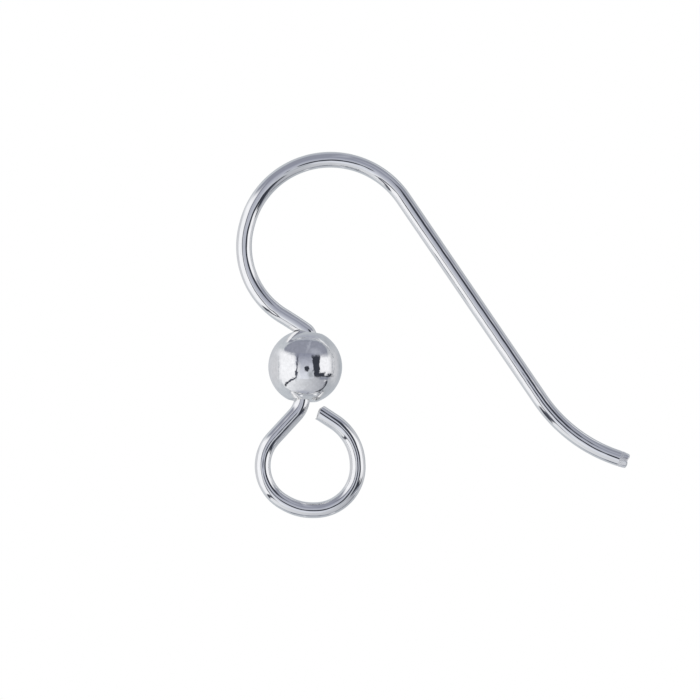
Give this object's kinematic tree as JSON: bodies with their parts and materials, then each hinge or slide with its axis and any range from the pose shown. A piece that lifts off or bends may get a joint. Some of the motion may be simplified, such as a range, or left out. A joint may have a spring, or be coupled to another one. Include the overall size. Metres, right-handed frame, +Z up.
{
  "type": "ear wire",
  "caption": "Fish-hook ear wire of round silver wire, with a hollow ball bead threaded above an open loop that an earring drop hangs from.",
  "frame": {"origin": "middle of the bounding box's underside, on the surface that the ear wire lies on", "axes": "+Z up from that surface, +X from the hook's back to its free tip, +Y from the loop to the hook's crown"},
  "size_m": [0.016, 0.0148, 0.003],
  "materials": {
    "wire_silver": "polished drawn sterling silver wire with fine lines along it",
    "bead_silver": "mirror-polished sterling silver"
  },
  "bodies": {
    "wire": {"ear_wire": "wire_silver"},
    "ball": {"bead": "bead_silver"}
  },
  "joints": [
    {"name": "bead_spin", "type": "hinge", "parent": "wire", "child": "ball", "pos_m": [-0.0052, -0.0013, 0.0015], "axis": [0.0892, 0.9897, -0.1119], "continuous": true}
  ]
}
